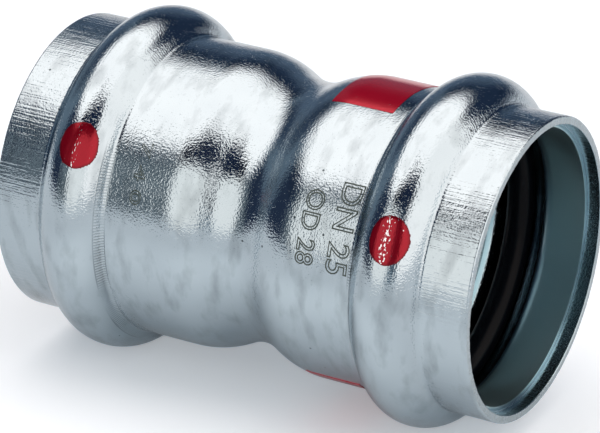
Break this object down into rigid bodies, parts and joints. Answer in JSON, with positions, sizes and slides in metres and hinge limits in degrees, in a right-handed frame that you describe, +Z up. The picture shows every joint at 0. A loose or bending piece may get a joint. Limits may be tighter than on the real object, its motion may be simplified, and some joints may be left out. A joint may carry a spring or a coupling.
{
  "type": "press-fit pipe coupling",
  "caption": "Straight press-fit pipe coupling: a zinc-plated steel tube with a narrow waist, two sockets and two rounded seal beads, each holding a rubber ring.",
  "frame": {"origin": "middle of the coupling, on the bore's axis", "axes": "+X along the bore towards the right socket, +Z up as it lies on its side"},
  "size_m": [0.0536, 0.0362, 0.0362],
  "materials": {
    "zinc_plated_steel": "bright zinc plating with a fine grain",
    "epdm_rubber": "smooth black rubber",
    "red_marking_paint": "glossy red marking paint"
  },
  "bodies": {
    "root": {"coupling_body": "zinc_plated_steel", "seal_ring_left": "epdm_rubber", "seal_ring_right": "epdm_rubber"}
  },
  "joints": []
}
